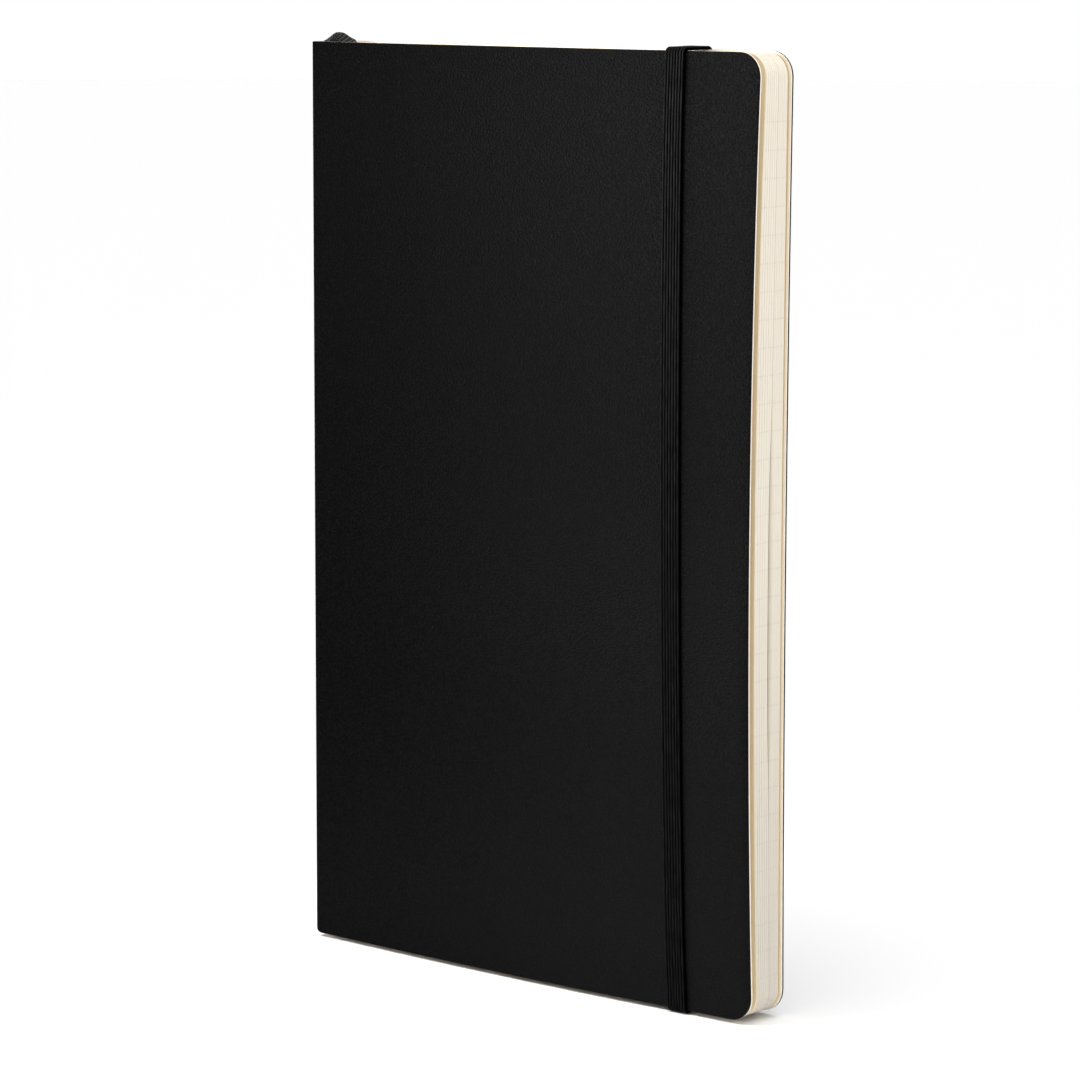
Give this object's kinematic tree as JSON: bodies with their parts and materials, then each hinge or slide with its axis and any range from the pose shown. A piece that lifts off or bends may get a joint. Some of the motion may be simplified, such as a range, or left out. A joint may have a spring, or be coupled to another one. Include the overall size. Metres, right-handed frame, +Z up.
{
  "type": "softcover notebook with elastic closure",
  "caption": "Upright softcover notebook with hinged covers, sewn signatures, ribbon page marker, elastic closure band and an expanding pocket in the back cover.",
  "frame": {"origin": "bottom centre of the whole object, on the plane it stands on, under the elastic's bottom leg", "axes": "+Z up along the spine, +X from the spine to the fore edge, the front cover faces -Y and the back cover +Y"},
  "size_m": [0.13, 0.0142, 0.213],
  "materials": {
    "cover": "matt black leatherette with a fine pebble grain",
    "lining": "uncoated cream card",
    "paper": "uncoated cream paper with faint grey ruling",
    "mull": "open weave binding cloth",
    "thread": "waxed sewing thread",
    "ribbon": "woven dark ribbon",
    "elastic": "ribbed woven elastic",
    "gusset": "fine black cloth"
  },
  "bodies": {
    "spine": {"spine_cover": "cover", "spine_liner": "lining", "spine_mull": "mull", "sewing_thread": "thread", "ribbon_anchor": "ribbon"},
    "front_cover": {"front_cover": "cover", "front_cover_lining": "lining"},
    "front_flyleaf": {"front_flyleaf": "paper"},
    "signature_01": {"signature_01": "paper"},
    "signature_02": {"signature_02": "paper"},
    "signature_03": {"signature_03": "paper"},
    "signature_04": {"signature_04": "paper"},
    "signature_05": {"signature_05": "paper"},
    "signature_06": {"signature_06": "paper"},
    "signature_07": {"signature_07": "paper"},
    "signature_08": {"signature_08": "paper"},
    "signature_09": {"signature_09": "paper"},
    "signature_10": {"signature_10": "paper"},
    "signature_11": {"signature_11": "paper"},
    "signature_12": {"signature_12": "paper"},
    "back_flyleaf": {"back_flyleaf": "paper"},
    "back_cover": {"back_cover": "cover", "back_cover_lining": "lining", "pocket_gusset_top": "gusset", "pocket_gusset_bottom": "gusset", "elastic_end_top": "elastic", "elastic_end_bottom": "elastic"},
    "pocket_panel": {"pocket_panel": "lining"},
    "ribbon_tail": {"ribbon_tail": "ribbon"},
    "elastic_band": {"elastic_band": "elastic"}
  },
  "joints": [
    {"name": "front_cover_open", "type": "hinge", "parent": "spine", "child": "front_cover", "pos_m": [-0.0643, -0.0063, 0.1059], "axis": [0, 0, -1], "range_deg": [0, 180]},
    {"name": "front_flyleaf_turn", "type": "hinge", "parent": "spine", "child": "front_flyleaf", "pos_m": [-0.0643, -0.0063, 0.1059], "axis": [0, 0, -1], "range_deg": [0, 172.8]},
    {"name": "signature_01_turn", "type": "hinge", "parent": "spine", "child": "signature_01", "pos_m": [-0.0643, -0.0063, 0.1059], "axis": [0, 0, -1], "range_deg": [0, 162]},
    {"name": "signature_02_turn", "type": "hinge", "parent": "spine", "child": "signature_02", "pos_m": [-0.0643, -0.0063, 0.1059], "axis": [0, 0, -1], "range_deg": [0, 147.6]},
    {"name": "signature_03_turn", "type": "hinge", "parent": "spine", "child": "signature_03", "pos_m": [-0.0643, -0.0063, 0.1059], "axis": [0, 0, -1], "range_deg": [0, 129.6]},
    {"name": "signature_04_turn", "type": "hinge", "parent": "spine", "child": "signature_04", "pos_m": [-0.0643, -0.0063, 0.1059], "axis": [0, 0, -1], "range_deg": [0, 108]},
    {"name": "signature_05_turn", "type": "hinge", "parent": "spine", "child": "signature_05", "pos_m": [-0.0643, -0.0063, 0.1059], "axis": [0, 0, -1], "range_deg": [0, 86.4]},
    {"name": "signature_06_turn", "type": "hinge", "parent": "spine", "child": "signature_06", "pos_m": [-0.0643, -0.0063, 0.1059], "axis": [0, 0, -1], "range_deg": [0, 66.6]},
    {"name": "signature_07_turn", "type": "hinge", "parent": "spine", "child": "signature_07", "pos_m": [-0.0643, -0.0063, 0.1059], "axis": [0, 0, -1], "range_deg": [0, 50.4]},
    {"name": "signature_08_turn", "type": "hinge", "parent": "spine", "child": "signature_08", "pos_m": [-0.0643, -0.0063, 0.1059], "axis": [0, 0, -1], "range_deg": [0, 36]},
    {"name": "signature_09_turn", "type": "hinge", "parent": "spine", "child": "signature_09", "pos_m": [-0.0643, -0.0063, 0.1059], "axis": [0, 0, -1], "range_deg": [0, 25.2]},
    {"name": "signature_10_turn", "type": "hinge", "parent": "spine", "child": "signature_10", "pos_m": [-0.0643, -0.0063, 0.1059], "axis": [0, 0, -1], "range_deg": [0, 16.2]},
    {"name": "signature_11_turn", "type": "hinge", "parent": "spine", "child": "signature_11", "pos_m": [-0.0643, -0.0063, 0.1059], "axis": [0, 0, -1], "range_deg": [0, 9]},
    {"name": "signature_12_turn", "type": "hinge", "parent": "spine", "child": "signature_12", "pos_m": [-0.0643, -0.0063, 0.1059], "axis": [0, 0, -1], "range_deg": [0, 3.6]},
    {"name": "back_cover_open", "type": "hinge", "parent": "spine", "child": "back_cover", "pos_m": [-0.0643, 0.0063, 0.1059], "axis": [0, 0, 1], "range_deg": [0, 180]},
    {"name": "back_flyleaf_turn", "type": "hinge", "parent": "spine", "child": "back_flyleaf", "pos_m": [-0.0643, 0.0063, 0.1059], "axis": [0, 0, 1], "range_deg": [0, 18]},
    {"name": "pocket_open", "type": "hinge", "parent": "back_cover", "child": "pocket_panel", "pos_m": [0.061, 0.00492, 0.1059], "axis": [0, 0, 1], "range_deg": [0, 7.2]},
    {"name": "ribbon_swing", "type": "hinge", "parent": "signature_07", "child": "ribbon_tail", "pos_m": [-0.0565, -0.0002, 0.20765], "axis": [0, -1, 0], "range_deg": [0, 72]},
    {"name": "elastic_release", "type": "hinge", "parent": "back_cover", "child": "elastic_band", "pos_m": [0.044, 0, 0.1059], "axis": [0, 0, 1], "range_deg": [0, 180], "deforming": ["elastic_band"]}
  ],
  "couplings": [
    {"joint": "front_flyleaf_turn", "follows": "front_cover_open", "ratio": 0.96},
    {"joint": "signature_01_turn", "follows": "front_cover_open", "ratio": 0.9},
    {"joint": "signature_02_turn", "follows": "front_cover_open", "ratio": 0.82},
    {"joint": "signature_03_turn", "follows": "front_cover_open", "ratio": 0.72},
    {"joint": "signature_04_turn", "follows": "front_cover_open", "ratio": 0.6},
    {"joint": "signature_05_turn", "follows": "front_cover_open", "ratio": 0.48},
    {"joint": "signature_06_turn", "follows": "front_cover_open", "ratio": 0.37},
    {"joint": "signature_07_turn", "follows": "front_cover_open", "ratio": 0.28},
    {"joint": "signature_08_turn", "follows": "front_cover_open", "ratio": 0.2},
    {"joint": "signature_09_turn", "follows": "front_cover_open", "ratio": 0.14},
    {"joint": "signature_10_turn", "follows": "front_cover_open", "ratio": 0.09},
    {"joint": "signature_11_turn", "follows": "front_cover_open", "ratio": 0.05},
    {"joint": "signature_12_turn", "follows": "front_cover_open", "ratio": 0.02},
    {"joint": "back_flyleaf_turn", "follows": "back_cover_open", "ratio": 0.1},
    {"joint": "pocket_open", "follows": "back_cover_open", "ratio": 0.04},
    {"joint": "elastic_release", "follows": "front_cover_open", "ratio": 1}
  ]
}
